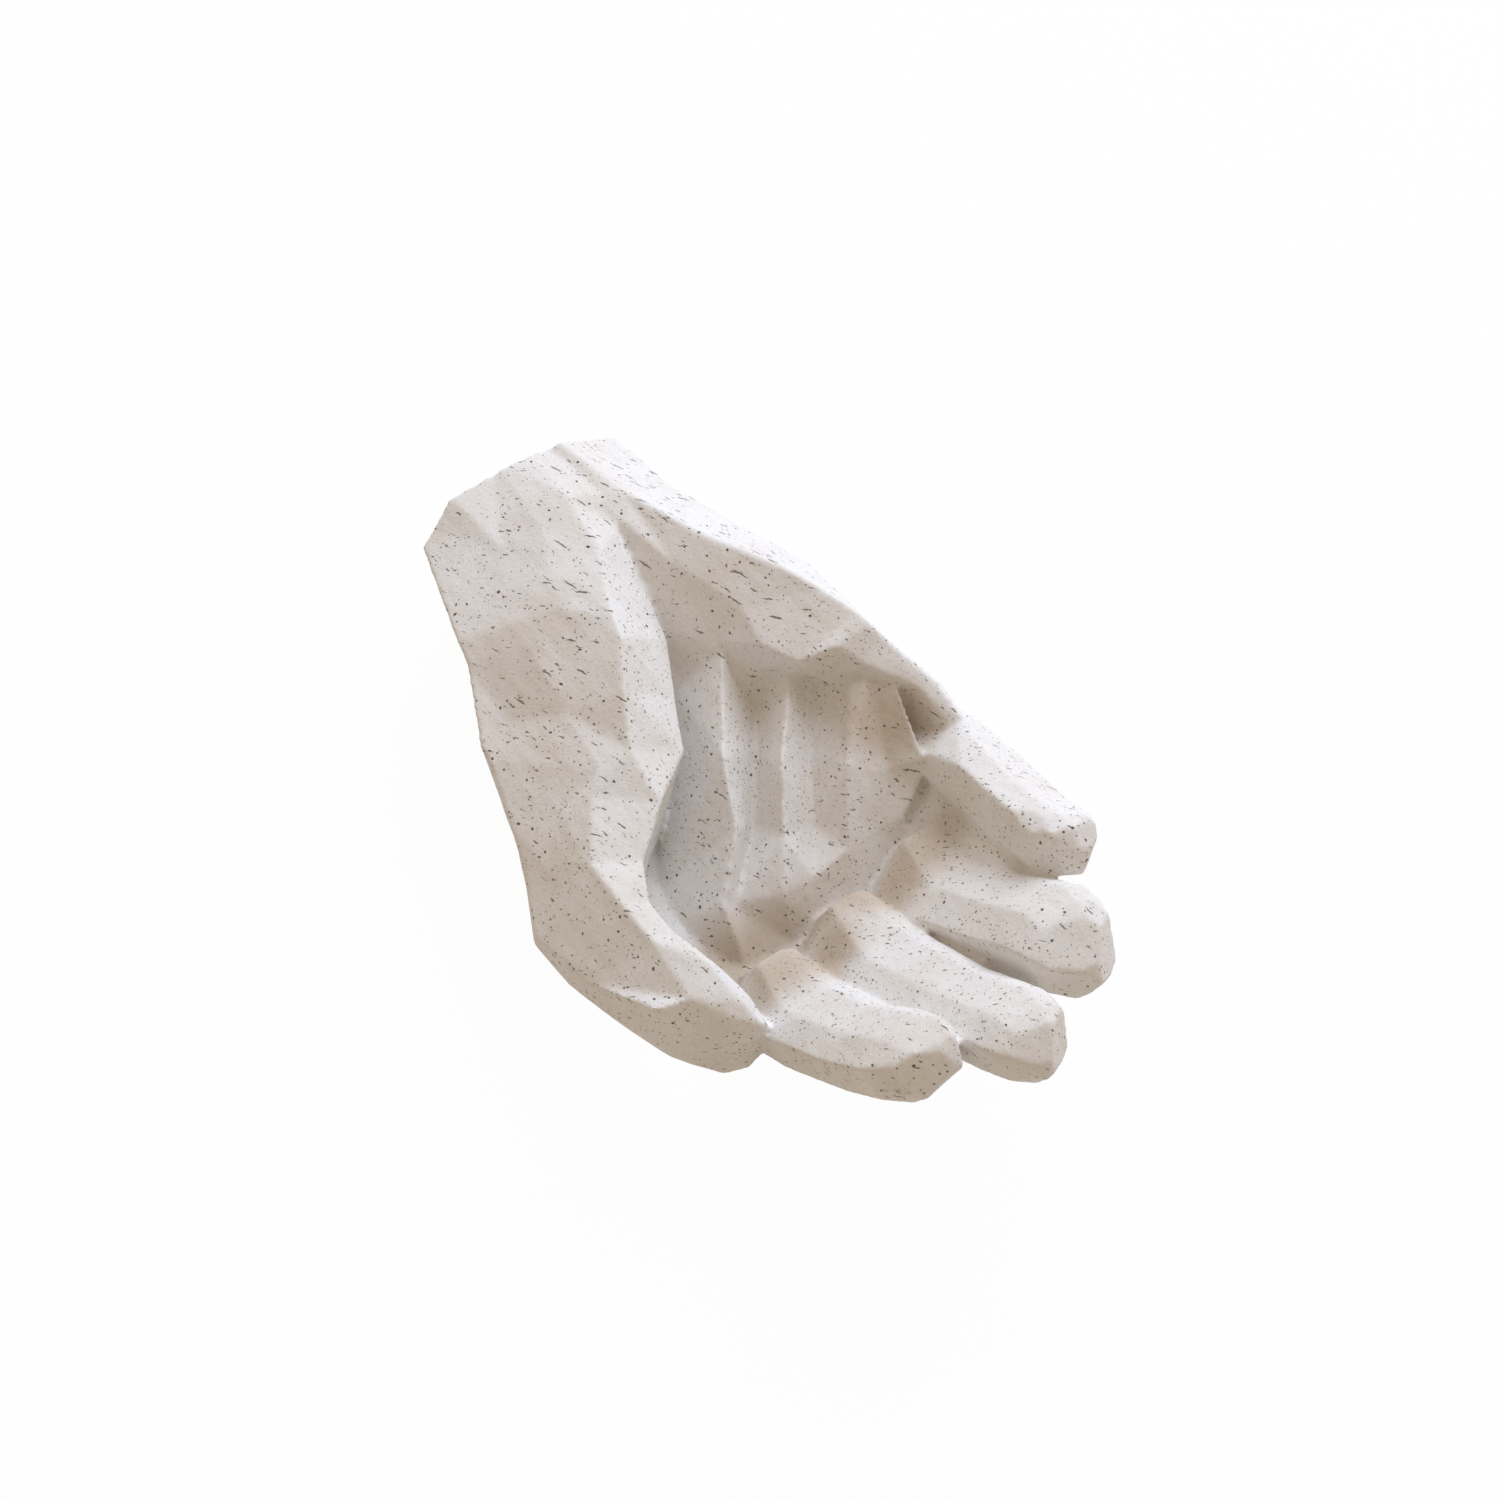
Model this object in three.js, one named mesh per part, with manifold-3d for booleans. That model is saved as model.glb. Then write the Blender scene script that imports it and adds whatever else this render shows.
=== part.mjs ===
// A carved open hand, cast in one piece, lying palm up on three felt pads.
// Millimetres, +Z up. The fingertips point along -Y and the little finger is on the +X side.
import * as THREE from 'three';
import { mergeVertices } from 'three/addons/utils/BufferGeometryUtils.js';
import Module from 'manifold-3d';

const wasm = await Module();
wasm.setup();

// Driving sizes: the cuff and the palm.
const cuffWidth = 44;
const heelWidth = 50;
const mouthWidth = 62;        // where the hollow starts
const hollowWidth = 70;
const padWidth = 72.5;        // over the thickest part of the heel pad
const palmWidth = 75;
const creaseWidth = 70;
const webWidth = 60;
const cuffHeight = 37;
const heelHeight = 41;
const ridgeHeight = 42;       // top of the ridge on the little-finger side
const padTopHeight = 41;
const ridgeEndHeight = 39;
const notchHeight = 37.5;     // behind the heel pad, where the ridge narrows
const notchEndHeight = 35.5;
const knuckleHeight = 32;
const moundHeight = 28;
const creaseHeight = 22;
const webHeight = 13;
const cuffLength = 19.5;      // sawn end to the heel of the hand
const heelLength = 19;        // heel to the start of the hollow
const hollowStep = 16;        // start of the hollow to its widest, and on to the ridge's end
const hollowLength = 50;      // start of the hollow to the finger mounds
const moundStep = 12;         // over the top of the finger mounds
const moundLength = 23;       // finger mounds to the finger creases
const webLength = 6;          // webs past the creases, between the fingers
const cuffSlant = 9;          // degrees that the sawn end turns from square
const cornerSlant = 20;       // degrees that the second saw cut turns the other way
const cornerX = -22;          // where the second cut starts, on the thumb side
const cuffStub = 6;           // length that the saw takes off

// Driving sizes: the thumb, from the cuff to its tip.
const thumbRootX = -9;
const thenarLength = 86;
const thumbProximalLength = 31;
const thumbDistalLength = 29;

// Driving sizes: the fingers. Widths and depths at the crease, the middle joint and the end joint.
// A finger's buried end lies `overlap` behind its crease and `drop` below it. Its sections turn
// about its own line by `roll` degrees, and its tip leans [across, out] by `lean`.
// Each flat on the tip faces [across, out, forward] and is cut `deep` into it.
const fingers = {
  index: {
    at: -0.385, setback: -3, rise: 15, curl: [30, 44, 52], splay: [0, 0, 0],
    lengths: [15.5, 22, 16], widths: [19, 17.6, 16.6], depths: [17, 16, 15],
    tipLength: 8, lean: [2, -1], overlap: 9, drop: 11, roll: 0,
    flats: [
      { facing: [0.1, 0.75, 0.65], deep: 1 },
      { facing: [-0.3, -0.15, 0.94], deep: 1.4 },
    ],
  },
  middle: {
    at: -0.13, setback: -2, rise: 14, curl: [28, 38, 44], splay: [-1, -1, -1],
    lengths: [17.5, 26, 19.5], widths: [19, 18, 16.5], depths: [17, 16, 15],
    tipLength: 10, lean: [-1, -1.5], overlap: 9, drop: 12, roll: 0,
    flats: [
      { facing: [-0.15, 0.4, 0.9], deep: 1.2 },
      { facing: [-0.7, -0.25, 0.65], deep: 1.2 },
      { facing: [0.6, -0.3, 0.7], deep: 2.5 },
    ],
  },
  ring: {
    at: 0.145, setback: 0, rise: 12.6, curl: [28, 42, 48], splay: [-1, -1, -1],
    lengths: [16.6, 23, 14], widths: [21, 20, 19], depths: [18, 19, 20],
    tipLength: 9.5, lean: [-1.5, -3], overlap: 9, drop: 12, roll: 0,
    flats: [
      { facing: [-0.1, 0.4, 0.9], deep: 1.5 },
      { facing: [-0.65, -0.5, 0.55], deep: 2.4 },
      { facing: [0.6, -0.3, 0.7], deep: 2.2 },
    ],
  },
  little: {
    at: 0.415, setback: 13, rise: 21, curl: [24, 32, 40], splay: [-8, -12, -14],
    lengths: [16, 18, 10], widths: [12.5, 14.5, 14], depths: [17, 17, 15],
    tipLength: 8, lean: [0.5, 0.5], overlap: 17, drop: 5, roll: -25,
    flats: [
      { facing: [-0.45, 0.85, 0.25], deep: 1.2 },
      { facing: [-0.8, -0.1, 0.6], deep: 1.5 },
      { facing: [0.5, 0.2, 0.85], deep: 1.2 },
    ],
  },
};
const tipDome = [{ forward: 0.45, size: 0.9 }, { forward: 0.85, size: 0.6 }];
const buriedEnd = { width: 0.55, depth: 0.5 };  // of the crease's own width and depth
const webShare = 0.5;         // thickness of the stone left between two fingers
const webDrop = 3;            // how far it lies below their middles
const webSteps = 3;           // stretches of two fingers that it joins, from their roots

// Driving sizes: the flats ground on the back of the hand, and the pads stuck to them.
const padDiameter = 13;
const padThickness = 2;
const glueFilm = 0.3;
const cutSize = 400;          // of the blocks that are cut away, past every side of the hand
const cuffPadX = -6;
const cuffPadSetback = 8;     // from the heel of the hand
const indexPadX = -30;
const littlePadX = 14;
const knucklePadSetback = 9;  // from the finger mounds

const cuffY = 10.5;
const heelY = cuffY - cuffLength;
const hollowY = heelY - heelLength;
const moundY = hollowY - hollowLength;
const creaseY = moundY - moundLength;
const palmMiddleX = -8;

// Scales an outline of corners [x, z] to a width and a height.
function stretch(corners, width, height) {
  const xs = corners.map(([x]) => x);
  const zs = corners.map(([, z]) => z);
  const left = Math.min(...xs);
  const right = Math.max(...xs);
  const top = Math.max(...zs);
  const middle = (left + right) / 2;
  const across = width / (right - left);
  return corners.map(([x, z]) => [middle + (x - middle) * across, z * height / top]);
}

// The frame of a cross-section: forward along the limb, across it, and out of its palm side.
function sectionFrame(course, pitch) {
  const heading = THREE.MathUtils.degToRad(course);
  const climb = THREE.MathUtils.degToRad(pitch);
  const forward = new THREE.Vector3(
    Math.sin(heading) * Math.cos(climb),
    -Math.cos(heading) * Math.cos(climb),
    Math.sin(climb),
  );
  const across = new THREE.Vector3(Math.cos(heading), Math.sin(heading), 0);
  const out = new THREE.Vector3().crossVectors(forward, across);
  return { forward, across, out };
}

// Places corners [across, out, forward] round a centre.
function placeCorners(centre, frame, corners) {
  return corners.map(([a, b, c = 0]) => centre.clone()
    .addScaledVector(frame.across, a)
    .addScaledVector(frame.out, b)
    .addScaledVector(frame.forward, c));
}

// Skins a run of rings with equal corner counts, and closes both ends on a point.
function skin(rings, startPoint, endPoint) {
  const count = rings[0].length;
  const triangles = [];
  const face = (a, b, c) => triangles.push(a, b, c);
  for (let i = 0; i + 1 < rings.length; i += 1) {
    for (let j = 0; j < count; j += 1) {
      const k = (j + 1) % count;
      const [a, b] = [rings[i][j], rings[i][k]];
      const [c, d] = [rings[i + 1][k], rings[i + 1][j]];
      if (a.distanceTo(c) < b.distanceTo(d)) {
        face(a, b, c);
        face(a, c, d);
      } else {
        face(a, b, d);
        face(b, c, d);
      }
    }
  }
  const last = rings[rings.length - 1];
  for (let j = 0; j < count; j += 1) {
    const k = (j + 1) % count;
    face(rings[0][k], rings[0][j], startPoint);
    face(last[j], last[k], endPoint);
  }
  const geometry = new THREE.BufferGeometry().setFromPoints(triangles);
  return geometry;
}

function ringCentre(ring) {
  const centre = new THREE.Vector3();
  ring.forEach((corner) => centre.add(corner));
  return centre.divideScalar(ring.length);
}

// Turns a closed geometry into a solid that can be joined and cut.
function toSolid(geometry) {
  const bare = geometry.clone();
  bare.deleteAttribute('normal');
  bare.deleteAttribute('uv');
  const merged = mergeVertices(bare, 1e-4);
  const mesh = new wasm.Mesh({
    numProp: 3,
    vertProperties: new Float32Array(merged.attributes.position.array),
    triVerts: new Uint32Array(merged.index.array),
  });
  return new wasm.Manifold(mesh);
}

function toGeometry(solid) {
  const mesh = solid.getMesh();
  const geometry = new THREE.BufferGeometry();
  geometry.setAttribute('position', new THREE.BufferAttribute(mesh.vertProperties, 3));
  geometry.setIndex(new THREE.BufferAttribute(mesh.triVerts, 1));
  geometry.computeVertexNormals();
  return geometry;
}

// The palm, from the cuff to the finger creases. Corners run from the outer edge of the
// little-finger ridge over the hollow to the thumb side, and back under the hand.
const palmSections = [
  {
    y: cuffY + cuffStub, width: cuffWidth, height: cuffHeight,
    corners: [
      [15.5, 29], [3, 37], [0, 36], [-4, 34], [-10, 33], [-16, 33], [-22, 33], [-26, 20],
      [-23, 5], [-5, 0], [11, 2], [18, 14],
    ],
  },
  {
    y: heelY, width: heelWidth, height: heelHeight,
    corners: [
      [15.8, 33], [4.3, 41], [2, 41], [-1, 41], [-6, 40], [-12, 38], [-22, 32], [-29, 20],
      [-24, 5], [-6, 0], [16, 2], [21, 15],
    ],
  },
  {
    y: hollowY, width: mouthWidth, height: ridgeHeight,
    corners: [
      [19.6, 35.5], [9.6, 42], [2.3, 38.7], [-4, 33], [-9, 28], [-16, 20], [-30, 20], [-38, 18],
      [-30, 7], [-8, 3], [18, 3], [24, 16],
    ],
  },
  {
    y: hollowY - hollowStep, width: hollowWidth, height: ridgeHeight,
    corners: [
      [24, 35.5], [16.5, 42], [6.4, 37.4], [0, 30], [-6, 23], [-14, 16], [-34, 12], [-42, 14],
      [-34, 5], [-8, 4], [20, 6], [28, 19],
    ],
  },
  {
    y: hollowY - 1.5 * hollowStep, width: padWidth, height: padTopHeight,
    corners: [
      [24.8, 34], [19.6, 41], [4.4, 35.4], [4, 27], [-1, 20], [-10, 13], [-35, 10], [-44, 13],
      [-35, 4], [-8, 4], [20, 6], [28.5, 19],
    ],
  },
  {
    y: hollowY - 2 * hollowStep, width: palmWidth, height: ridgeEndHeight,
    corners: [
      [25.8, 32], [22.3, 39], [7.3, 35.6], [12, 20], [6, 14], [-10, 11], [-36, 8.5], [-46, 12],
      [-36, 3], [-8, 3.5], [20, 6], [29, 19],
    ],
  },
  {
    y: hollowY - 2.2 * hollowStep, width: palmWidth, height: notchHeight,
    corners: [
      [26.5, 31], [23.2, 37.5], [14.8, 37.5], [15, 20], [7, 14], [-10, 11], [-36, 8], [-46, 12],
      [-36, 3], [-8, 3.5], [20, 6], [29, 19],
    ],
  },
  {
    y: hollowY - 2.45 * hollowStep, width: palmWidth, height: notchEndHeight,
    corners: [
      [27, 30], [24.2, 35.5], [17.5, 33.5], [16.5, 20], [8, 13], [-10, 10.5], [-36, 8],
      [-46, 12], [-36, 3], [-8, 3], [20, 6], [29, 19],
    ],
  },
  {
    y: moundY, width: palmWidth, height: knuckleHeight,
    corners: [
      [29, 27.5], [26.6, 32], [23.4, 31.5], [18.5, 18], [8, 11], [-10, 9], [-36, 7.5], [-45, 11],
      [-38, 2], [-8, 1], [20, 4], [30, 17],
    ],
  },
  {
    y: moundY - moundStep, width: palmWidth, height: moundHeight,
    corners: [
      [28.5, 25], [26.6, 28], [24, 26.5], [17, 13], [6, 8.5], [-8, 7.5], [-36, 7], [-45, 10],
      [-38, 0], [-8, -2], [20, 1], [30, 14],
    ],
  },
  {
    y: creaseY, width: creaseWidth, height: creaseHeight,
    corners: [
      [27, 20], [25, 22], [20, 19], [14, 12], [4, 9], [-8, 8.5], [-36, 9], [-43, 9], [-36, 2],
      [-8, 0], [18, 3], [27, 11],
    ],
  },
  {
    y: creaseY - webLength, width: webWidth, height: webHeight,
    corners: [
      [21, 12], [20, 13], [17, 12], [12, 10.5], [4, 10], [-8, 10], [-34, 10], [-39, 8], [-34, 4],
      [-8, 3], [16, 4], [21, 8],
    ],
  },
];

function makePalm() {
  const rings = palmSections.map(({ y, width, height, corners }) => (
    stretch(corners, width, height).map(([x, z]) => new THREE.Vector3(x, y, z))));
  return toSolid(skin(rings, ringCentre(rings[0]), ringCentre(rings[rings.length - 1])));
}

// The thumb and the mound at its root. Each section is reached by a step along a course, and
// faces its own heading. Corners run from the edge over the hollow, over the crest and the outer
// arris, to the outside, and back under to the wall of the hollow.
const thumbSections = [
  {
    step: 0, course: 0, facing: -15,
    corners: [
      [15, 35.5], [6, 37.2], [0, 37], [-12.4, 35.5], [-19.8, 32.2, 6], [-13, 6], [8, 4], [14, 20],
    ],
  },
  {
    step: 0.27 * thenarLength, course: -12.5, facing: -18,
    corners: [
      [19.5, 39.5, -2], [7.2, 42.3, -4.8], [0, 42, -0.3], [-8.4, 39.5, 0.7],
      [-23.2, 35.5, 10.1], [-13, 5], [8, 4], [15, 22],
    ],
  },
  {
    step: 0.12 * thenarLength, course: -29, facing: -22,
    corners: [
      [15.7, 40, -6.5], [10.7, 43, -0.6], [-0.2, 42.5, 1.4], [-8.7, 40, 0.8], [-21.2, 36, 6.7],
      [-12, 6], [10, 6], [16, 18],
    ],
  },
  {
    step: 0.12 * thenarLength, course: -29, facing: -22,
    corners: [
      [19.5, 34.2, -3], [10.2, 43.8, -0.7], [0.5, 42.3, -1.1], [-7.9, 40, -2],
      [-19.5, 35.7, -0.5], [-11, 8], [12, 8], [18, 16],
    ],
  },
  {
    step: 0.09 * thenarLength, course: -23, facing: -32,
    corners: [
      [19.8, 31, -5.5], [10.4, 44, 0.7], [7.5, 43.5, -4.8], [-8.3, 39, -3.7], [-20, 35.3, -2.6],
      [-12, 9], [12, 8], [18, 16],
    ],
  },
  {
    step: 0.14 * thenarLength, course: -24.5, facing: -26,
    corners: [
      [18.4, 30.5, -2], [7.9, 42.3, 0.6], [-3, 37.2], [-14.4, 32, -3.9], [-20.9, 31, -0.8],
      [-14, 12], [10, 6], [15, 12],
    ],
  },
  {
    step: 0.145 * thenarLength, course: -28.5, facing: -43,
    corners: [
      [16.3, 30, -8], [6.7, 39.2, -2.2], [0.7, 37.9, 1.3], [-21.2, 30, -3.8], [-21.5, 25, -4.2],
      [-14, 14], [8, 6], [12, 12],
    ],
  },
  {
    step: 0.12 * thenarLength, course: -24, facing: -26,
    corners: [
      [10.1, 35.6], [-2.5, 37.2, -4.2], [-9, 33, -4.3], [-18.5, 28.5, -6.8],
      [-18, 23, -4.5], [-14, 16], [3, 7], [7, 12],
    ],
  },
  {
    step: 0.35 * thumbProximalLength, course: -45, facing: -40,
    corners: [
      [7.4, 34.6, -1], [-2.6, 36], [-11.6, 29, -2.6], [-15.6, 26.5, -3], [-15.6, 22, -1.5],
      [-12, 16], [1, 9], [5, 13],
    ],
  },
  {
    step: 0.35 * thumbProximalLength, course: -26.5, facing: -15,
    corners: [
      [6.8, 35], [1.3, 38], [-13.4, 24, -6], [-14.1, 23.5, -7.6], [-14.3, 20, -8],
      [-11, 15], [1, 10], [5, 14],
    ],
  },
  {
    step: 0.3 * thumbProximalLength, course: -11, facing: 0,
    corners: [
      [7.4, 36, 0.8], [2.7, 38, 1.4], [-9.7, 29, -3.7], [-9.9, 25, -3.4], [-9.8, 22, -3.4],
      [-7, 16], [2, 12], [6, 16],
    ],
  },
  {
    step: 0.45 * thumbDistalLength, course: 4.5, facing: 10,
    corners: [
      [7.8, 37.5], [6.5, 39, -1], [-1, 38.3, 1.5], [-6.5, 37, -2.4], [-9.2, 28, -2.8], [-5, 17],
      [4, 14], [7, 20],
    ],
  },
  {
    step: 0.33 * thumbDistalLength, course: 18.5, facing: 20,
    corners: [
      [6.5, 34.5], [4, 36], [0.7, 35], [-2.6, 32, -2], [-5.5, 22, -2.7], [-3, 17.5], [6, 17],
      [9, 25],
    ],
  },
  {
    step: 0.2 * thumbDistalLength, course: 31, facing: 28,
    corners: [
      [3.6, 32, -0.5], [2, 33], [0.5, 31.5, -2], [-1, 28, -3.5], [-2, 22, -3], [-1, 19, -2],
      [4, 20], [5, 26],
    ],
  },
];

function makeThumb() {
  const centre = new THREE.Vector3(thumbRootX, cuffY + cuffStub, 0);
  const rings = thumbSections.map(({ step, course, facing, corners }) => {
    centre.addScaledVector(sectionFrame(course, 0).forward, step);
    return placeCorners(centre, sectionFrame(facing, 0), corners);
  });
  return toSolid(skin(rings, ringCentre(rings[0]), ringCentre(rings[rings.length - 1])));
}

// The folds in the floor of the hollow. Each line runs slantwise from under the little-finger
// ridge to the roots of the first two fingers. Places are [across, along, up] from the start of
// the hollow. Between two lines the stone is a slope, so a crest and a crease make one fold.
const foldLines = {
  thumbFoot: [[-8, -8, 18], [-36, -41, 8], [-39, -45, 7], [-40, -50, 6.5], [-39, -58, 5.5]],
  firstCrest: [[2.5, -14.5, 29.5], [-15, -36, 28], [-21, -47, 21.5], [-31.5, -55.5, 15], [-34, -65, 8]],
  firstCrease: [[9.5, -15.5, 22.5], [-5.5, -34.5, 18.5], [-15.5, -45.5, 14.5], [-28.5, -55.5, 12],
    [-32, -66, 7.5]],
  secondCrest: [[10, -27, 30], [-7.5, -44.5, 27], [-14.5, -53.5, 20.5], [-21.5, -61.5, 15.5], [-24, -68, 8]],
  secondCrease: [[13.5, -27.5, 25], [1.5, -42.5, 19.5], [-6.5, -53.5, 15.5], [-14, -62, 14], [-18, -69, 7.5]],
  thirdCrest: [[17, -37, 30], [3, -52, 26], [-2, -58, 19.5], [-5, -62, 16], [-8, -69, 8]],
  ridgeSlope: [[19, -40, 31], [10, -56, 22], [6, -60, 18], [3, -62, 15.5], [-1, -69, 8]],
  ridgeFoot: [[21, -46, 31], [16, -60, 26], [13, -62, 20], [8, -64, 17], [6, -71, 9]],
};
const foldTail = new THREE.Vector3(0, -6, -3);  // from the near ends down into the palm
const foldDepth = 4;          // level of the underside of the folded floor

function makeFolds() {
  const lines = Object.values(foldLines).map((line) => {
    const points = line.map(([x, y, z]) => new THREE.Vector3(x, hollowY + y, z));
    return [...points, points[points.length - 1].clone().add(foldTail)];
  });
  const rings = lines[0].map((foot, i) => {
    const top = lines.map((line) => line[i]);
    const ends = [top[top.length - 1], foot];
    const [right, left] = ends.map((corner) => corner.clone().setZ(foldDepth));
    return [right, ...top.reverse(), left];
  });
  return toSolid(skin(rings, ringCentre(rings[0]), ringCentre(rings[rings.length - 1])));
}

// Cross-sections of a finger, in shares of half its width and half its depth. Corners run from
// the little-finger side of the flat pad, over it to the thumb side, and back round the nail side.
// At the root the pad is narrow, and a long slope runs down from it to the thumb side.
const fingerOutline = [[0.5, 0.9], [-0.5, 0.92], [-1.2, 0.6], [-1.08, -0.4], [-0.5, -0.95],
  [0.7, -0.85], [1, 0.2], [0.85, 0.68]];
const rootOutline = [[0.65, 0.85], [0, 0.92], [-1.15, 0.05], [-1.05, -0.4], [-0.5, -0.95],
  [0.7, -0.85], [1, 0.2], [0.9, 0.65]];

function fingerCourse(finger) {
  const { at, setback, rise, overlap, drop, curl, splay, lengths, widths, depths } = finger;
  const { tipLength, lean, roll } = finger;
  const centre = new THREE.Vector3(palmMiddleX + at * palmWidth, creaseY + setback, rise);
  const origin = new THREE.Vector2();
  const turn = THREE.MathUtils.degToRad(roll);
  const sizes = (i) => (i === 0 ? rootOutline : fingerOutline).map(([a, b]) => (
    new THREE.Vector2(a * widths[i] / 2, b * depths[i] / 2).rotateAround(origin, turn).toArray()));
  const first = sectionFrame(splay[0], 0);
  const root = centre.clone().addScaledVector(first.forward, -overlap);
  root.z -= drop;
  const rings = [placeCorners(root, first, sizes(0).map(([a, b]) => (
    [a * buriedEnd.width, b * buriedEnd.depth])))];
  lengths.forEach((length, i) => {
    const frame = sectionFrame(splay[i], i === 0 ? curl[0] : (curl[i] + curl[i - 1]) / 2);
    rings.push(placeCorners(centre, frame, sizes(i)));
    centre.addScaledVector(sectionFrame(splay[i], curl[i]).forward, length);
  });
  const end = sectionFrame(splay[2], curl[2]);
  rings.push(placeCorners(centre, end, sizes(2)));
  tipDome.forEach(({ forward, size }) => {
    rings.push(placeCorners(centre, end, sizes(2).map(([a, b]) => (
      [a * size + lean[0] * forward, b * size + lean[1] * forward, forward * tipLength]))));
  });
  const [endPoint] = placeCorners(centre, end, [[...lean, tipLength]]);
  return { rings, endPoint, end };
}

function makeFinger({ rings, endPoint, end }, flats) {
  let solid = toSolid(skin(rings, ringCentre(rings[0]), endPoint));
  const tipCorners = [...rings.slice(-1 - tipDome.length).flat(), endPoint];
  flats.forEach(({ facing, deep }) => {
    const [face] = placeCorners(new THREE.Vector3(), end, [facing]);
    face.normalize();
    const reach = Math.max(...tipCorners.map((corner) => face.dot(corner)));
    solid = solid.trimByPlane(face.negate().toArray(), deep - reach);
  });
  return solid;
}

// The stone that the carver left between two neighbouring fingers, up to their end joints.
function makeWeb(finger, neighbour) {
  const cores = [finger, neighbour].map(({ rings }) => rings.slice(0, webSteps + 1).map((ring) => {
    const centre = ringCentre(ring);
    const lowered = centre.clone().setZ(centre.z - webDrop);
    return ring.map((corner) => corner.clone().sub(centre).multiplyScalar(webShare).add(lowered));
  }));
  return Array.from({ length: webSteps }, (_, i) => {
    const corners = cores.flatMap((core) => [...core[i], ...core[i + 1]]);
    return wasm.Manifold.hull(corners.map((corner) => corner.toArray()));
  });
}

// Cuts two blocks off the sawn end of the cuff, and the flats off the back of the hand.
function makeCuts() {
  const block = new THREE.BoxGeometry(1, 1, 1).scale(cutSize, cutSize, cutSize);
  const slant = THREE.MathUtils.degToRad(cuffSlant);
  const cuff = block.clone().translate(0, cutSize / 2, 0);
  const corner = cuff.clone().rotateZ(THREE.MathUtils.degToRad(cornerSlant));
  corner.translate(cornerX, cuffY - cornerX * Math.tan(slant), 0);
  cuff.rotateZ(-slant).translate(0, cuffY, 0);
  const ground = block.translate(0, 0, padThickness + glueFilm - cutSize / 2);
  return toSolid(cuff).add(toSolid(corner)).add(toSolid(ground));
}

let body = makePalm().add(makeThumb()).add(makeFolds());
const fingerRuns = Object.values(fingers).map(fingerCourse);
fingerRuns.forEach((run, i) => {
  body = body.add(makeFinger(run, Object.values(fingers)[i].flats));
  if (i === 0) return;
  makeWeb(fingerRuns[i - 1], run).forEach((web) => {
    body = body.add(web);
  });
});
body = body.subtract(makeCuts());

const stone = new THREE.MeshStandardMaterial({
  color: 0xe6e1d8,
  roughness: 0.9,
  metalness: 0,
  flatShading: true,
});
const felt = new THREE.MeshStandardMaterial({ color: 0x8d8a84, roughness: 1, metalness: 0 });
const cylinderSides = 32;

const hand = new THREE.Group();
const casting = new THREE.Mesh(toGeometry(body), stone);
casting.name = 'hand_casting';
hand.add(casting);

const padPlaces = {
  felt_pad_cuff: [cuffPadX, heelY + cuffPadSetback],
  felt_pad_index_knuckle: [indexPadX, moundY - knucklePadSetback],
  felt_pad_little_knuckle: [littlePadX, moundY - knucklePadSetback],
};
Object.entries(padPlaces).forEach(([name, [x, y]]) => {
  const disc = new THREE.CylinderGeometry(
    padDiameter / 2,
    padDiameter / 2,
    padThickness,
    cylinderSides,
  );
  const pad = new THREE.Mesh(disc.rotateX(Math.PI / 2), felt.clone());
  pad.name = name;
  pad.position.set(x, y, padThickness / 2);
  hand.add(pad);
});

// Sets the origin under the middle of the hand's box.
const box = new THREE.Box3().setFromObject(hand);
hand.children.forEach((mesh) => {
  mesh.position.x -= (box.min.x + box.max.x) / 2;
  mesh.position.y -= (box.min.y + box.max.y) / 2;
});

export default hand;
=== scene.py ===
# %% [markdown]
# # A carved open hand in cast stone
#
# The real object is an ornament: an open, cupped hand, lying palm up, with the broad facets that
# a chisel leaves. It is cast in one piece in a cream stone mix with dark grains in it, and it
# stands on three felt pads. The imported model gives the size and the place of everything, so this
# script only dresses it.

# %% Load the frame
import math
import random

import bmesh
import bpy
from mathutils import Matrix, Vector, noise


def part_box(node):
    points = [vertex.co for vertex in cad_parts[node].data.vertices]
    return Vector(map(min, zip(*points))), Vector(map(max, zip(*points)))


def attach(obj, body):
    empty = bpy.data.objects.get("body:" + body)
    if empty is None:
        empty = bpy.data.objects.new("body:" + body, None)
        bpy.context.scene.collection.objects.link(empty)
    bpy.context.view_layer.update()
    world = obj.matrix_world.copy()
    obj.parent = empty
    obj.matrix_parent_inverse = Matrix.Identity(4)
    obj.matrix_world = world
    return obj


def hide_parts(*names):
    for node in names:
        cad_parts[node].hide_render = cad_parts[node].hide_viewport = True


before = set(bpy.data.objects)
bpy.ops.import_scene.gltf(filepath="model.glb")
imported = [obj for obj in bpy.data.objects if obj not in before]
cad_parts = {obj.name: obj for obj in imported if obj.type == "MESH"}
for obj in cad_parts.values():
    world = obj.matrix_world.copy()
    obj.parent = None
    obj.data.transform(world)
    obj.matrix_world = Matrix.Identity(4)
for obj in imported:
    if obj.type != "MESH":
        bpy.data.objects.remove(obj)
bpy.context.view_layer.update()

# %% [markdown]
# ## Units and colours
#
# Blender works in metres and a stone carver in millimetres, so one number turns one into the
# other. Colours are written as the hex codes of any paint program, which are sRGB. Blender wants
# linear light, so one function turns them.

# %% Units and colours
MM = 0.001


def linear(hex_code):
    channels = [int(hex_code[i:i + 2], 16) / 255 for i in (1, 3, 5)]
    return [c / 12.92 if c <= 0.04045 else ((c + 0.055) / 1.055) ** 2.4 for c in channels] + [1.0]


print("cream stone in linear light:", [round(c, 3) for c in linear("#EEEDEB")])

# %% [markdown]
# ## Helpers for materials
#
# A material is a graph of nodes. The first helper adds one node, sets its properties and its
# unlinked sockets, and links the rest. A socket that shares its name with another is given by its
# number. The others start a material and give it coordinates.

# %% Node helpers


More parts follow.
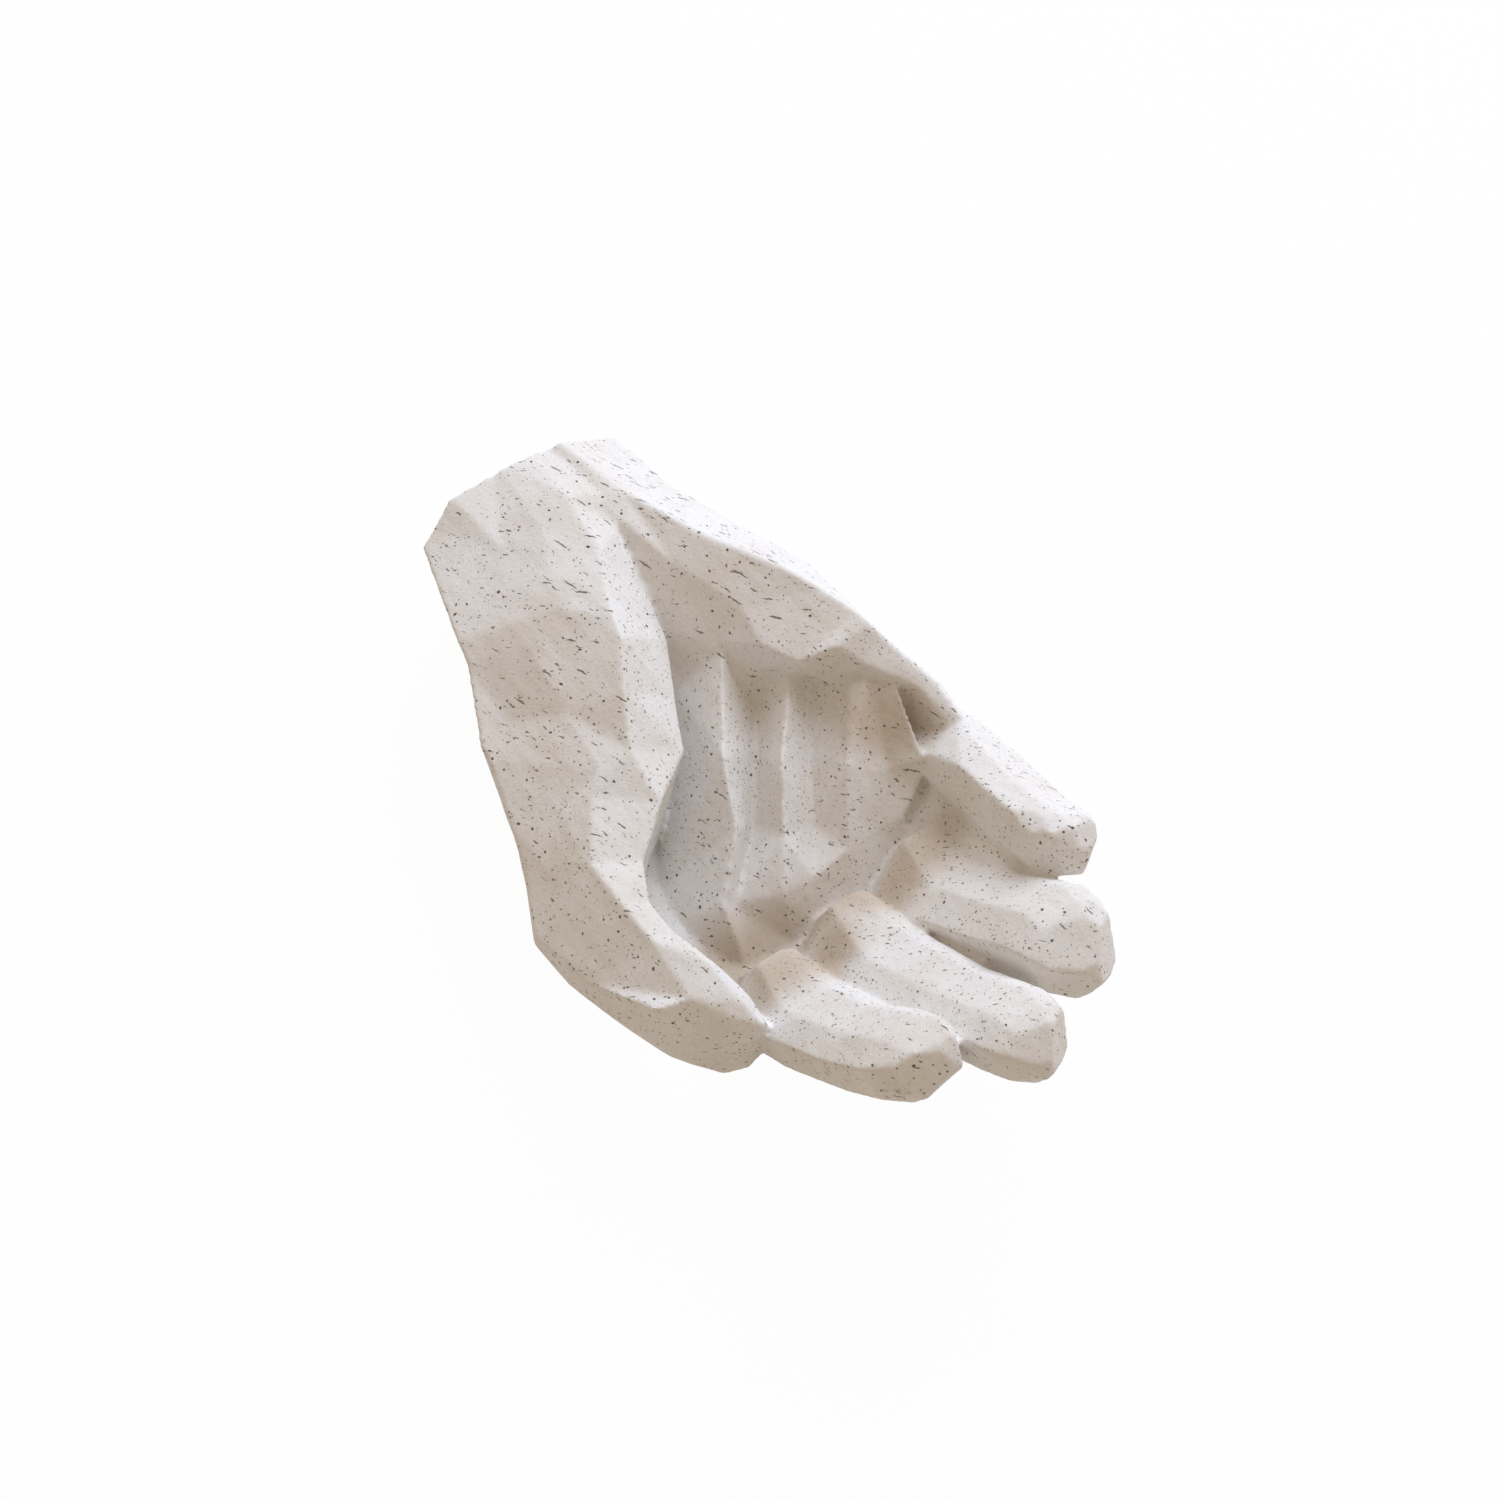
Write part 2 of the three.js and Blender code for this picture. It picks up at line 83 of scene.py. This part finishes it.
def add(tree, kind, settings=None, **links):
    """Adds a node. settings holds properties and socket values, links holds name=output."""
    node = tree.nodes.new(kind)
    for key, value in (settings or {}).items():
        if isinstance(key, str) and hasattr(node, key):
            setattr(node, key, value)
        else:
            node.inputs[key].default_value = value
    for key, output in links.items():
        name = key.replace("_", " ")
        tree.links.new(output, node.inputs[int(key[1:]) if key[1:].isdigit() else name])
    return node


def new_material(name):
    material = bpy.data.materials.new(name)
    material.use_nodes = True
    material.node_tree.nodes.clear()
    return material, material.node_tree


def millimetres(tree):
    """The object's own coordinates in millimetres, so that patterns are given in real sizes."""
    coords = add(tree, "ShaderNodeTexCoord")
    return add(tree, "ShaderNodeMapping", {"Scale": (1 / MM, 1 / MM, 1 / MM)},
               Vector=coords.outputs["Object"]).outputs["Vector"]


print("node helpers ready")

# %% [markdown]
# ## The stone casting
#
# The real casting came out of a mould taken from a carved model. Its arrises, the edges between
# two facets, are worn to under a millimetre, and the facets are never quite flat: the chisel left
# shallow waves, and a rasp left fine grooves along the hand. A bevel would have to fit in between
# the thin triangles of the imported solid. So a voxel remesh turns it into an even net first, a
# smooth modifier rounds the arrises, and noise along the normals adds the waves and the grooves.

# %% The casting's shape
NET = 0.6 * MM             # size of one face of the net
ARRIS_PASSES = 1           # more passes give rounder arrises
WAVE = 14 * MM             # length of a chisel wave
WAVE_OCTAVES = 2           # the wave, and one of half its length on it
WAVE_DEPTH = 0.2 * MM
RASP = Vector((1.9, 8.0, 1.9)) * MM    # a rasp mark is long along the hand and narrow across it
RASP_DEPTH = 0.09 * MM


def apply_modifiers(obj):
    """Bakes an object's modifiers into its mesh."""
    graph = bpy.context.evaluated_depsgraph_get()
    mesh = bpy.data.meshes.new_from_object(obj.evaluated_get(graph))
    obj.modifiers.clear()
    obj.data = mesh


def wave_height(point):
    """How far a point of the surface moves out along its normal."""
    waves = noise.fractal(point / WAVE, 1.0, 2.0, WAVE_OCTAVES, noise_basis="PERLIN_ORIGINAL")
    rasped = noise.noise(Vector(a / b for a, b in zip(point, RASP)))
    return waves * WAVE_DEPTH + rasped * RASP_DEPTH


def make_casting():
    """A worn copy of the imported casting."""
    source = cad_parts["hand_casting"]
    casting = bpy.data.objects.new("carved_hand", source.data.copy())
    bpy.context.scene.collection.objects.link(casting)
    remesh = casting.modifiers.new("even net", "REMESH")
    remesh.mode = "VOXEL"
    remesh.voxel_size = NET
    smooth = casting.modifiers.new("worn arrises", "SMOOTH")
    smooth.factor = 0.5
    smooth.iterations = ARRIS_PASSES
    apply_modifiers(casting)
    mesh = casting.data
    moves = [vertex.normal * wave_height(vertex.co) for vertex in mesh.vertices]
    for vertex, move in zip(mesh.vertices, moves):
        vertex.co += move
    mesh.shade_smooth()
    return casting


casting = make_casting()
print("casting faces:", len(casting.data.polygons))

# %% [markdown]
# ## Grains in the stone
#
# The mix is cement or stoneware slip with crushed limestone and grains of dark grog. What the eye
# reads as stone is the grains: specks of 0.1 to 0.4 mm, open pits of 0.2 to 0.6 mm, and drag marks
# of 1.5 to 4 mm where the scraper pulled a grain along. They could be painted on a flat image,
# but that would smear on steep facets. Here each is a ball in a 3-D pattern of cells, and the
# surface cuts through the balls as a saw cuts through real grains. A drag mark is the same in a
# pattern that is stretched.

# %% Grains
# A cell is in mm. The radii are shares of the cell, and only a share of the cells has a grain.
SPECKS = {"cell": 0.85, "smallest": 0.06, "largest": 0.22, "share": 0.7}
PITS = {"cell": 1.75, "smallest": 0.07, "largest": 0.18, "share": 0.6}
MARKS = {"cell": 1.1, "smallest": 0.07, "largest": 0.19, "share": 0.75}
MARK_STRETCH = 0.1         # how wide a drag mark is, as a share of its length
# Degrees from the wrist-to-finger line: in the photograph the first is the marks' direction in the
# hollow, and the second on the thumb. Both kinds are laid everywhere.
MARK_TURNS = (-38, -14)
SOFT_EDGE = (-0.02, 0.06)  # where a grain's edge starts and ends, as shares of the cell


def dots(tree, place, cell, smallest, largest, share):
    """A mask that is 1 inside the grains."""
    cells = add(tree, "ShaderNodeTexVoronoi", {"Scale": 1 / cell, "Randomness": 1.0}, Vector=place)
    split = add(tree, "ShaderNodeSeparateColor", Color=cells.outputs["Color"])
    radius = add(tree, "ShaderNodeMapRange", {"To Min": smallest, "To Max": largest},
                 Value=split.outputs["Red"])
    present = add(tree, "ShaderNodeMath", {"operation": "LESS_THAN", 1: share},
                  s0=split.outputs["Green"])
    inside = add(tree, "ShaderNodeMath", {"operation": "SUBTRACT"},
                 s0=radius.outputs["Result"], s1=cells.outputs["Distance"])
    soft = add(tree, "ShaderNodeMapRange", {"From Min": SOFT_EDGE[0], "From Max": SOFT_EDGE[1]},
               Value=inside.outputs["Value"])
    return add(tree, "ShaderNodeMath", {"operation": "MULTIPLY"},
               s0=soft.outputs["Result"], s1=present.outputs["Value"]).outputs["Value"]


def drag_marks(tree, place):
    """A mask that is 1 inside the drag marks, which run in two directions."""
    masks = []
    for turn in MARK_TURNS:
        along = add(tree, "ShaderNodeMapping", {"Rotation": (0, 0, math.radians(turn))},
                    Vector=place)
        drawn = add(tree, "ShaderNodeMapping", {"Scale": (1, MARK_STRETCH, 1)},
                    Vector=along.outputs["Vector"])
        masks.append(dots(tree, drawn.outputs["Vector"], **MARKS))
    return add(tree, "ShaderNodeMath", {"operation": "MAXIMUM"},
               s0=masks[0], s1=masks[1]).outputs["Value"]


for name, grain in (("specks", SPECKS), ("pits", PITS), ("drag marks", MARKS)):
    print("largest", name, "in mm across:", round(2 * grain["cell"] * grain["largest"], 2))

# %% [markdown]
# ## Painted shade in the folds
#
# Shade is painted into the stone's colour in the deepest folds, as a darker and warmer cream. An
# ambient occlusion node would darken every corner alike, so here the mask comes from the distance
# to a few lines along those folds, so it follows them and fades out softly.

# %% Painted shade in the folds
FOLD_SHADE_TINT = linear("#DBCEBE")       # multiplies the stone's colour as painted shade in the folds
# Points in mm along the folds that get painted shade: one runs from beside the thumb on under the
# finger roots, one lies on the first two roots, and one is at the foot of the little-finger ridge.
SHADED_FOLDS = [[(-20, -17, 9), (12, -29, 21), (24, -27, 22)],
               [(-18, -31, 23), (-7, -31, 23)],
               [(31, -1, 27), (34, -4, 26)]]
SHADE_REACH = (2, 13)                   # mm from a fold: full painted shade, and none


def near_line(tree, place, start, end):
    """The distance from the line between two points."""
    line = Vector(end) - Vector(start)
    offset = add(tree, "ShaderNodeVectorMath", {"operation": "SUBTRACT", 1: start}, s0=place)
    along = add(tree, "ShaderNodeVectorMath",
                {"operation": "DOT_PRODUCT", 1: line / line.length_squared},
                s0=offset.outputs["Vector"])
    share = add(tree, "ShaderNodeClamp", Value=along.outputs["Value"])
    foot = add(tree, "ShaderNodeVectorMath", {"operation": "SCALE", 0: line},
               Scale=share.outputs["Result"])
    return add(tree, "ShaderNodeVectorMath", {"operation": "DISTANCE"},
               s0=offset.outputs["Vector"], s1=foot.outputs["Vector"]).outputs["Value"]


def painted_shade_mask(tree, place):
    """A mask of painted shade that is 1 along the shaded folds and fades out away from them."""
    pieces = [ends for fold in SHADED_FOLDS for ends in zip(fold, fold[1:])]
    nearest = near_line(tree, place, *pieces[0])
    for start, end in pieces[1:]:
        nearest = add(tree, "ShaderNodeMath", {"operation": "MINIMUM"}, s0=nearest,
                      s1=near_line(tree, place, start, end)).outputs["Value"]
    return add(tree, "ShaderNodeMapRange",
               {"interpolation_type": "SMOOTHSTEP", "From Min": SHADE_REACH[1],
                "From Max": SHADE_REACH[0]}, Value=nearest).outputs["Result"]


# painted shade: the number of folds whose stone colour is darkened
print("folds with painted shade:", len(SHADED_FOLDS))

# %% [markdown]
# ## The stone's colour
#
# The cream drifts between two tones over some 16 mm, as the mix was stirred, and a sandy grain
# lies on it. Both are noise in 3-D, like the grains, so that nothing has to be unwrapped. The
# painted shade of the folds is multiplied in, so it darkens the stone and doesn't hide it.

# %% The stone's colour
STONE_CREAM = linear("#EEEDEB")
STONE_WARM = linear("#E8E4DE")
TONE_DRIFT = 16                        # mm over which the cream changes
TONE_SPAN = (0.35, 0.65)               # noise from all cream to all warm
SAND_SPAN = (0.3, 0.7)                 # noise from the darkest to the lightest sand
SAND_TONES = (0.93, 1.03)              # the stone's colour is multiplied by these


def stone_colour(tree, place, sand):
    """The bare stone's cream in two tones, with the sand and the painted shade of the folds on it.
    """
    clouds = add(tree, "ShaderNodeTexNoise", {"Scale": 1 / TONE_DRIFT, "Detail": 4.0},
                 Vector=place)
    tone = add(tree, "ShaderNodeMapRange",
               {"From Min": TONE_SPAN[0], "From Max": TONE_SPAN[1]},
               Value=clouds.outputs["Fac"])
    base = add(tree, "ShaderNodeMix", {"data_type": "RGBA", 6: STONE_CREAM, 7: STONE_WARM},
               s0=tone.outputs["Result"])
    sand_tone = add(tree, "ShaderNodeMapRange",
                    {"From Min": SAND_SPAN[0], "From Max": SAND_SPAN[1],
                     "To Min": SAND_TONES[0], "To Max": SAND_TONES[1]}, Value=sand)
    sanded = add(tree, "ShaderNodeVectorMath", {"operation": "SCALE"},
                 s0=base.outputs[2], Scale=sand_tone.outputs["Result"])
    # painted shade: the folds' mask darkens and warms the stone's colour here
    shaded_in_folds = add(tree, "ShaderNodeMix",
                {"data_type": "RGBA", "blend_type": "MULTIPLY", 7: FOLD_SHADE_TINT},
                s0=painted_shade_mask(tree, place), s6=sanded.outputs["Vector"])
    return shaded_in_folds.outputs[2]


for name, tone in (("cream", STONE_CREAM), ("warm", STONE_WARM)):
    print(name, "stone in linear light:", [round(c, 2) for c in tone[:3]])

# %% [markdown]
# ## The stone's relief
#
# The sand roughens the surface a little, and the grains are sunk into it. The deepest pits are
# under 0.4 mm deep. Real holes of that size would take millions of faces, and a bump from the same
# masks shows them well enough.

# %% The stone's relief
RELIEF = 0.18 * MM         # depth of a speck or a drag mark
PIT_DEPTH = 2.0            # as a share of RELIEF
SAND_DEPTH = 0.9           # as a share of RELIEF


def stone_relief(tree, sand, specks, scored, pits):
    """Normals of a surface with sand on it and with the grains sunk into it."""
    holes = add(tree, "ShaderNodeMath", {"operation": "MAXIMUM"}, s0=specks, s1=scored)
    deep = add(tree, "ShaderNodeMath", {"operation": "MULTIPLY_ADD", 1: PIT_DEPTH},
               s0=pits, s2=holes.outputs["Value"])
    depth = add(tree, "ShaderNodeMath", {"operation": "MULTIPLY_ADD", 1: SAND_DEPTH},
                s0=sand, s2=deep.outputs["Value"])
    height = add(tree, "ShaderNodeMath", {"operation": "SUBTRACT", 0: 1.0},
                 s1=depth.outputs["Value"])
    bump = add(tree, "ShaderNodeBump", {"Strength": 0.9, "Distance": RELIEF},
               Height=height.outputs["Value"])
    return bump.outputs["Normal"]


print("deepest pit in mm:", round(PIT_DEPTH * RELIEF / MM, 2))

# %% [markdown]
# ## Cast stone with grog
#
# Cast stone isn't polished, so it is matte: an IOR of about 1.5 and a roughness near 0.9. The
# specks, then the drag marks and at last the pits, which are the deepest, are laid over the
# stone's colour. A crushed grain isn't round, so all of them lie in a space that noise has bent.

# %% Cast stone
STONE_IOR = 1.5
STONE_ROUGHNESS = 0.92
SAND_PER_MM = 1.3
GROG_GREY = linear("#A59887")          # in the specks, which are half buried
SCORE_BROWN = linear("#8F867B")        # in the drag marks
GROG_DARK = linear("#6C5F52")          # in the pits
BENDS_PER_MM = 0.7
BEND = (0.9, 0.9, 0.9)                 # mm


def blend(tree, mask, colour, over):
    """Lays a colour over a colour output where the mask is 1."""
    mixed = add(tree, "ShaderNodeMix", {"data_type": "RGBA", 7: colour}, s0=mask, s6=over)
    return mixed.outputs[2]


def cast_stone():
    material, tree = new_material("cast_stone_with_grog")
    place = millimetres(tree)
    bends = add(tree, "ShaderNodeTexNoise", {"Scale": BENDS_PER_MM, "Detail": 2.0}, Vector=place)
    bent = add(tree, "ShaderNodeVectorMath", {"operation": "MULTIPLY_ADD", 1: BEND},
               s0=bends.outputs["Color"], s2=place).outputs["Vector"]
    specks = dots(tree, bent, **SPECKS)
    pits = dots(tree, bent, **PITS)
    scored = drag_marks(tree, bent)
    sand = add(tree, "ShaderNodeTexNoise",
               {"Scale": SAND_PER_MM, "Detail": 4.0, "Roughness": 0.7},
               Vector=place).outputs["Fac"]
    speckled = blend(tree, specks, GROG_GREY, stone_colour(tree, place, sand))
    scratched = blend(tree, scored, SCORE_BROWN, speckled)
    pitted = blend(tree, pits, GROG_DARK, scratched)
    shader = add(tree, "ShaderNodeBsdfPrincipled",
                 {"Roughness": STONE_ROUGHNESS, "IOR": STONE_IOR},
                 Base_Color=pitted, Normal=stone_relief(tree, sand, specks, scored, pits))
    add(tree, "ShaderNodeOutputMaterial", Surface=shader.outputs["BSDF"])
    return material


casting.data.materials.clear()
casting.data.materials.append(cast_stone())
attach(casting, "root")
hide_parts("hand_casting")
print("casting dressed in", casting.data.materials[0].name)

# %% [markdown]
# ## Felt pads
#
# A stone ornament would scratch a table, so discs of pressed wool felt are glued under it. Felt
# has no weave: it is a mat of curled fibres, cut with a punch. Each pad is a disc with a slightly
# crushed rim and an uneven face. It is built ring by ring, because the rim's profile is easier
# to draw than to bevel.

# %% Felt discs
RIM_CRUSH = 0.25 * MM      # how far the punch pulls in the rim
RIM = [(1, 0), (0.3, 0.15), (0, 0.4), (0, 0.6), (0.3, 0.85), (1, 1)]  # shares: crush, height
PAD_RINGS = 9
PAD_SIDES = 64
FELT_LUMP = 0.9 * MM
FELT_LUMP_DEPTH = 0.1 * MM


def felt_profile(radius, height):
    """Points (distance from the axis, height) from the middle of the underside to the top."""
    inner = [radius * i / PAD_RINGS for i in range(PAD_RINGS - 1)]
    rim = [(radius - crush * RIM_CRUSH, share * height) for crush, share in RIM]
    return [(r, 0.0) for r in inner] + rim + [(r, height) for r in reversed(inner)]


def add_ring(bm, middle, distance, spot_height, radius, height):
    """One ring of the disc's points. The lumps sink the top and leave the underside flat."""
    ring = []
    for step in range(1 if distance == 0 else PAD_SIDES):
        turn = 2 * math.pi * step / PAD_SIDES
        outward = Vector((math.cos(turn), math.sin(turn), 0))
        spot = middle + outward * distance + Vector((0, 0, spot_height))
        lump = noise.noise(spot / FELT_LUMP) * FELT_LUMP_DEPTH
        if spot_height > 0:
            spot.z += lump * 0.5 if spot_height < height else -abs(lump)
        ring.append(bm.verts.new(spot + outward * lump * (distance / radius)))
    return ring


def join_rings(bm, lower, upper):
    for step in range(PAD_SIDES):
        after = (step + 1) % PAD_SIDES
        corners = [lower[step % len(lower)], lower[after % len(lower)],
                   upper[after % len(upper)], upper[step % len(upper)]]
        bm.faces.new(list(dict.fromkeys(corners)))


def add_disc(bm, middle, radius, height):
    rings = [add_ring(bm, middle, distance, z, radius, height)
             for distance, z in felt_profile(radius, height)]
    for lower, upper in zip(rings, rings[1:]):
        join_rings(bm, lower, upper)


print("felt profile points:", len(felt_profile(1.0, 1.0)))

# %% [markdown]
# ## Loose fibres
#
# The punch tears the felt's cut edge, and short fibres stand out of it. Hair would be far too
# heavy for pads that hardly show, so each fibre is one thin triangle.

# %% Loose fibres
FIBRES = 260
FIBRE_LENGTH = 0.35 * MM
FIBRE_WIDTH = 0.03 * MM    # on each side of the middle of its foot
FIBRE_SUNK = 0.05 * MM     # how deep a fibre's foot sits in the edge
FIBRE_LEAN = 0.6           # how far a fibre leans sideways for each step outwards, at most
FIBRE_BAND = (0.15, 0.85)  # between these shares of the pad's height


def add_fibre(bm, foot, way):
    side = way.cross(Vector((0, 0, 1))).normalized() * FIBRE_WIDTH
    tip = foot + way * FIBRE_LENGTH
    corners = [bm.verts.new(p) for p in (foot - side, foot + side, tip)]
    bm.faces.new(corners)


def add_fibres(bm, dice, middle, radius, height):
    for _ in range(FIBRES):
        turn = dice.uniform(0, 2 * math.pi)
        lean = dice.uniform(-FIBRE_LEAN, FIBRE_LEAN)
        outward = Vector((math.cos(turn), math.sin(turn), 0))
        foot = middle + Vector((0, 0, dice.uniform(*FIBRE_BAND) * height))
        way = (outward + Vector((-outward.y, outward.x, 0)) * lean).normalized()
        add_fibre(bm, foot + outward * (radius - FIBRE_SUNK), way)


def make_pad(node, material):
    """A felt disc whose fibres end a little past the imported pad's edge."""
    low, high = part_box(node)
    middle = Vector(((low.x + high.x) / 2, (low.y + high.y) / 2, low.z))
    radius = (high.x - low.x) / 2 - FIBRE_LENGTH / 2
    height = high.z - low.z
    bm = bmesh.new()
    add_disc(bm, middle, radius, height)
    add_fibres(bm, random.Random(node), middle, radius, height)
    bmesh.ops.recalc_face_normals(bm, faces=bm.faces)
    mesh = bpy.data.meshes.new(node)
    bm.to_mesh(mesh)
    bm.free()
    mesh.shade_smooth()
    mesh.materials.append(material)
    pad = bpy.data.objects.new("felt_disc" + node.removeprefix("felt_pad"), mesh)
    bpy.context.scene.collection.objects.link(pad)
    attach(pad, "root")
    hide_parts(node)
    return pad


print("fibres on each pad:", FIBRES)

# %% [markdown]
# ## Pressed wool felt
#
# Grey wool felt scatters light from thousands of fibre ends, so it is fully rough with a weak
# sheen. Fibres of about 0.03 mm are too fine to show, so the pattern is drawn at 0.25 mm.

# %% Pressed felt
FELT_GREY = linear("#8D8A84")
FELT_DARK = linear("#6A6762")
FIBRE_DRAWN = 0.25         # mm
CURL = 1.6                 # how much the fibres wind about
FELT_RELIEF = 0.15 * MM


def pressed_felt():
    material, tree = new_material("pressed_wool_felt")
    fibres = add(tree, "ShaderNodeTexNoise",
                 {"Scale": 1 / FIBRE_DRAWN, "Detail": 5.0, "Distortion": CURL},
                 Vector=millimetres(tree))
    colour = add(tree, "ShaderNodeMix", {"data_type": "RGBA", 6: FELT_DARK, 7: FELT_GREY},
                 s0=fibres.outputs["Fac"])
    bump = add(tree, "ShaderNodeBump", {"Strength": 0.8, "Distance": FELT_RELIEF},
               Height=fibres.outputs["Fac"])
    shader = add(tree, "ShaderNodeBsdfPrincipled",
                 {"Roughness": 1.0, "IOR": 1.5, "Sheen Weight": 0.25, "Sheen Roughness": 0.6},
                 Base_Color=colour.outputs[2], Normal=bump.outputs["Normal"])
    add(tree, "ShaderNodeOutputMaterial", Surface=shader.outputs["BSDF"])
    return material


felt = pressed_felt()
pads = [make_pad(node, felt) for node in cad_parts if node.startswith("felt_pad")]
print("pads:", [pad.name for pad in pads])

# %% [markdown]
# ## Floor
#
# The photograph was taken on plain white, and here the floor is a sheet of pale paper. More light
# would make it white too, but it would bleach the hand. So the camera sees it mostly as plain
# white, and the rest of its shader is matte paper, which keeps the hand's soft shadow.

# %% Floor
FLOOR_SIZE = 4.0
PAPER_WHITE = linear("#F4F3F1")
PLAIN_WHITE = 0.97         # share of plain white in what the camera sees


def white_floor():
    material, tree = new_material("white_paper_sweep")
    paper = add(tree, "ShaderNodeBsdfDiffuse", {"Color": PAPER_WHITE})
    glow = add(tree, "ShaderNodeEmission", {"Color": (1, 1, 1, 1), "Strength": 1.0})
    rays = add(tree, "ShaderNodeLightPath")
    white = add(tree, "ShaderNodeMath", {"operation": "MULTIPLY", 1: PLAIN_WHITE},
                s0=rays.outputs["Is Camera Ray"])
    mixed = add(tree, "ShaderNodeMixShader", s0=white.outputs["Value"],
                s1=paper.outputs["BSDF"], s2=glow.outputs["Emission"])
    add(tree, "ShaderNodeOutputMaterial", Surface=mixed.outputs["Shader"])
    return material


def make_floor():
    half = FLOOR_SIZE / 2
    mesh = bpy.data.meshes.new("floor")
    mesh.from_pydata([(-half, -half, 0), (half, -half, 0), (half, half, 0), (-half, half, 0)],
                     [], [(0, 1, 2, 3)])
    mesh.materials.append(white_floor())
    floor = bpy.data.objects.new("floor", mesh)
    bpy.context.scene.collection.objects.link(floor)


make_floor()
print("floor:", FLOOR_SIZE, "m wide")

# %% [markdown]
# ## Light
#
# One wide soft box stands on the little-finger side and towards the wrist, some 40 degrees up, so
# the facets that face it are bright and the hollow keeps soft shadows. A small lamp would draw hard
# shadows, which the photograph doesn't have. The box is faintly blue, as a window is, and the room
# round it is warm, which gives the shaded facets their warm grey. The camera sees the room as
# plain white.

# %% Light
HAND_MIDDLE = Vector((0.0, 0.0, 0.02))
ROOM_GLOW = linear("#B5A48F")
WINDOW_PLACE = Vector((0.76, 0.41, 0.78))
WINDOW_SIZE = 1.0          # metres
WINDOW_POWER = 14.3        # watts
WINDOW_TINT = "#DCE9FF"


def add_softbox(name, place, size, power, tint):
    """An area lamp at place, facing the hand."""
    lamp = bpy.data.lights.new(name, "AREA")
    lamp.shape = "SQUARE"
    lamp.size = size
    lamp.energy = power
    lamp.color = linear(tint)[:3]
    obj = bpy.data.objects.new(name, lamp)
    obj.location = place
    obj.rotation_mode = "QUATERNION"
    obj.rotation_quaternion = (HAND_MIDDLE - obj.location).to_track_quat("-Z", "Y")
    bpy.context.scene.collection.objects.link(obj)


def light_world():
    world = bpy.data.worlds.new("white studio")
    bpy.context.scene.world = world
    world.use_nodes = True
    tree = world.node_tree
    tree.nodes.clear()
    rays = add(tree, "ShaderNodeLightPath")
    seen = add(tree, "ShaderNodeMath", {"operation": "MAXIMUM"},
               s0=rays.outputs["Is Camera Ray"], s1=rays.outputs["Is Glossy Ray"])
    colour = add(tree, "ShaderNodeMix",
                 {"data_type": "RGBA", 6: ROOM_GLOW, 7: (1, 1, 1, 1)}, s0=seen.outputs["Value"])
    glow = add(tree, "ShaderNodeBackground", {"Strength": 1.0}, Color=colour.outputs[2])
    add(tree, "ShaderNodeOutputWorld", Surface=glow.outputs["Background"])


add_softbox("window_softbox", WINDOW_PLACE, WINDOW_SIZE, WINDOW_POWER, WINDOW_TINT)
light_world()

# %% [markdown]
# ## Camera
#
# The photograph looks down on the palm from the fingertips, turned 40 degrees towards the thumb
# and 60 degrees above the table. The distance of 0.7 m is a guess, and an 84 mm lens on a 36 mm
# sensor then frames the hand as in the photograph.

# %% Camera
VIEW_TURN = math.radians(-40)
VIEW_RISE = math.radians(60)
VIEW_DISTANCE = 0.7        # metres
VIEW_AIM = Vector((12.9, 14.4, 15.0)) * MM
LENS = 84
SENSOR = 36

back = Vector((math.sin(VIEW_TURN) * math.cos(VIEW_RISE),
               -math.cos(VIEW_TURN) * math.cos(VIEW_RISE), math.sin(VIEW_RISE)))
camera = bpy.data.objects.new("camera", bpy.data.cameras.new("camera"))
camera.data.lens = LENS
camera.data.sensor_width = SENSOR
camera.location = VIEW_AIM + back * VIEW_DISTANCE
camera.rotation_mode = "QUATERNION"
camera.rotation_quaternion = (-back).to_track_quat("-Z", "Y")
bpy.context.scene.collection.objects.link(camera)
bpy.context.scene.camera = camera
bpy.context.scene.view_settings.view_transform = "Standard"
print("camera at", [round(v, 3) for v in camera.location])
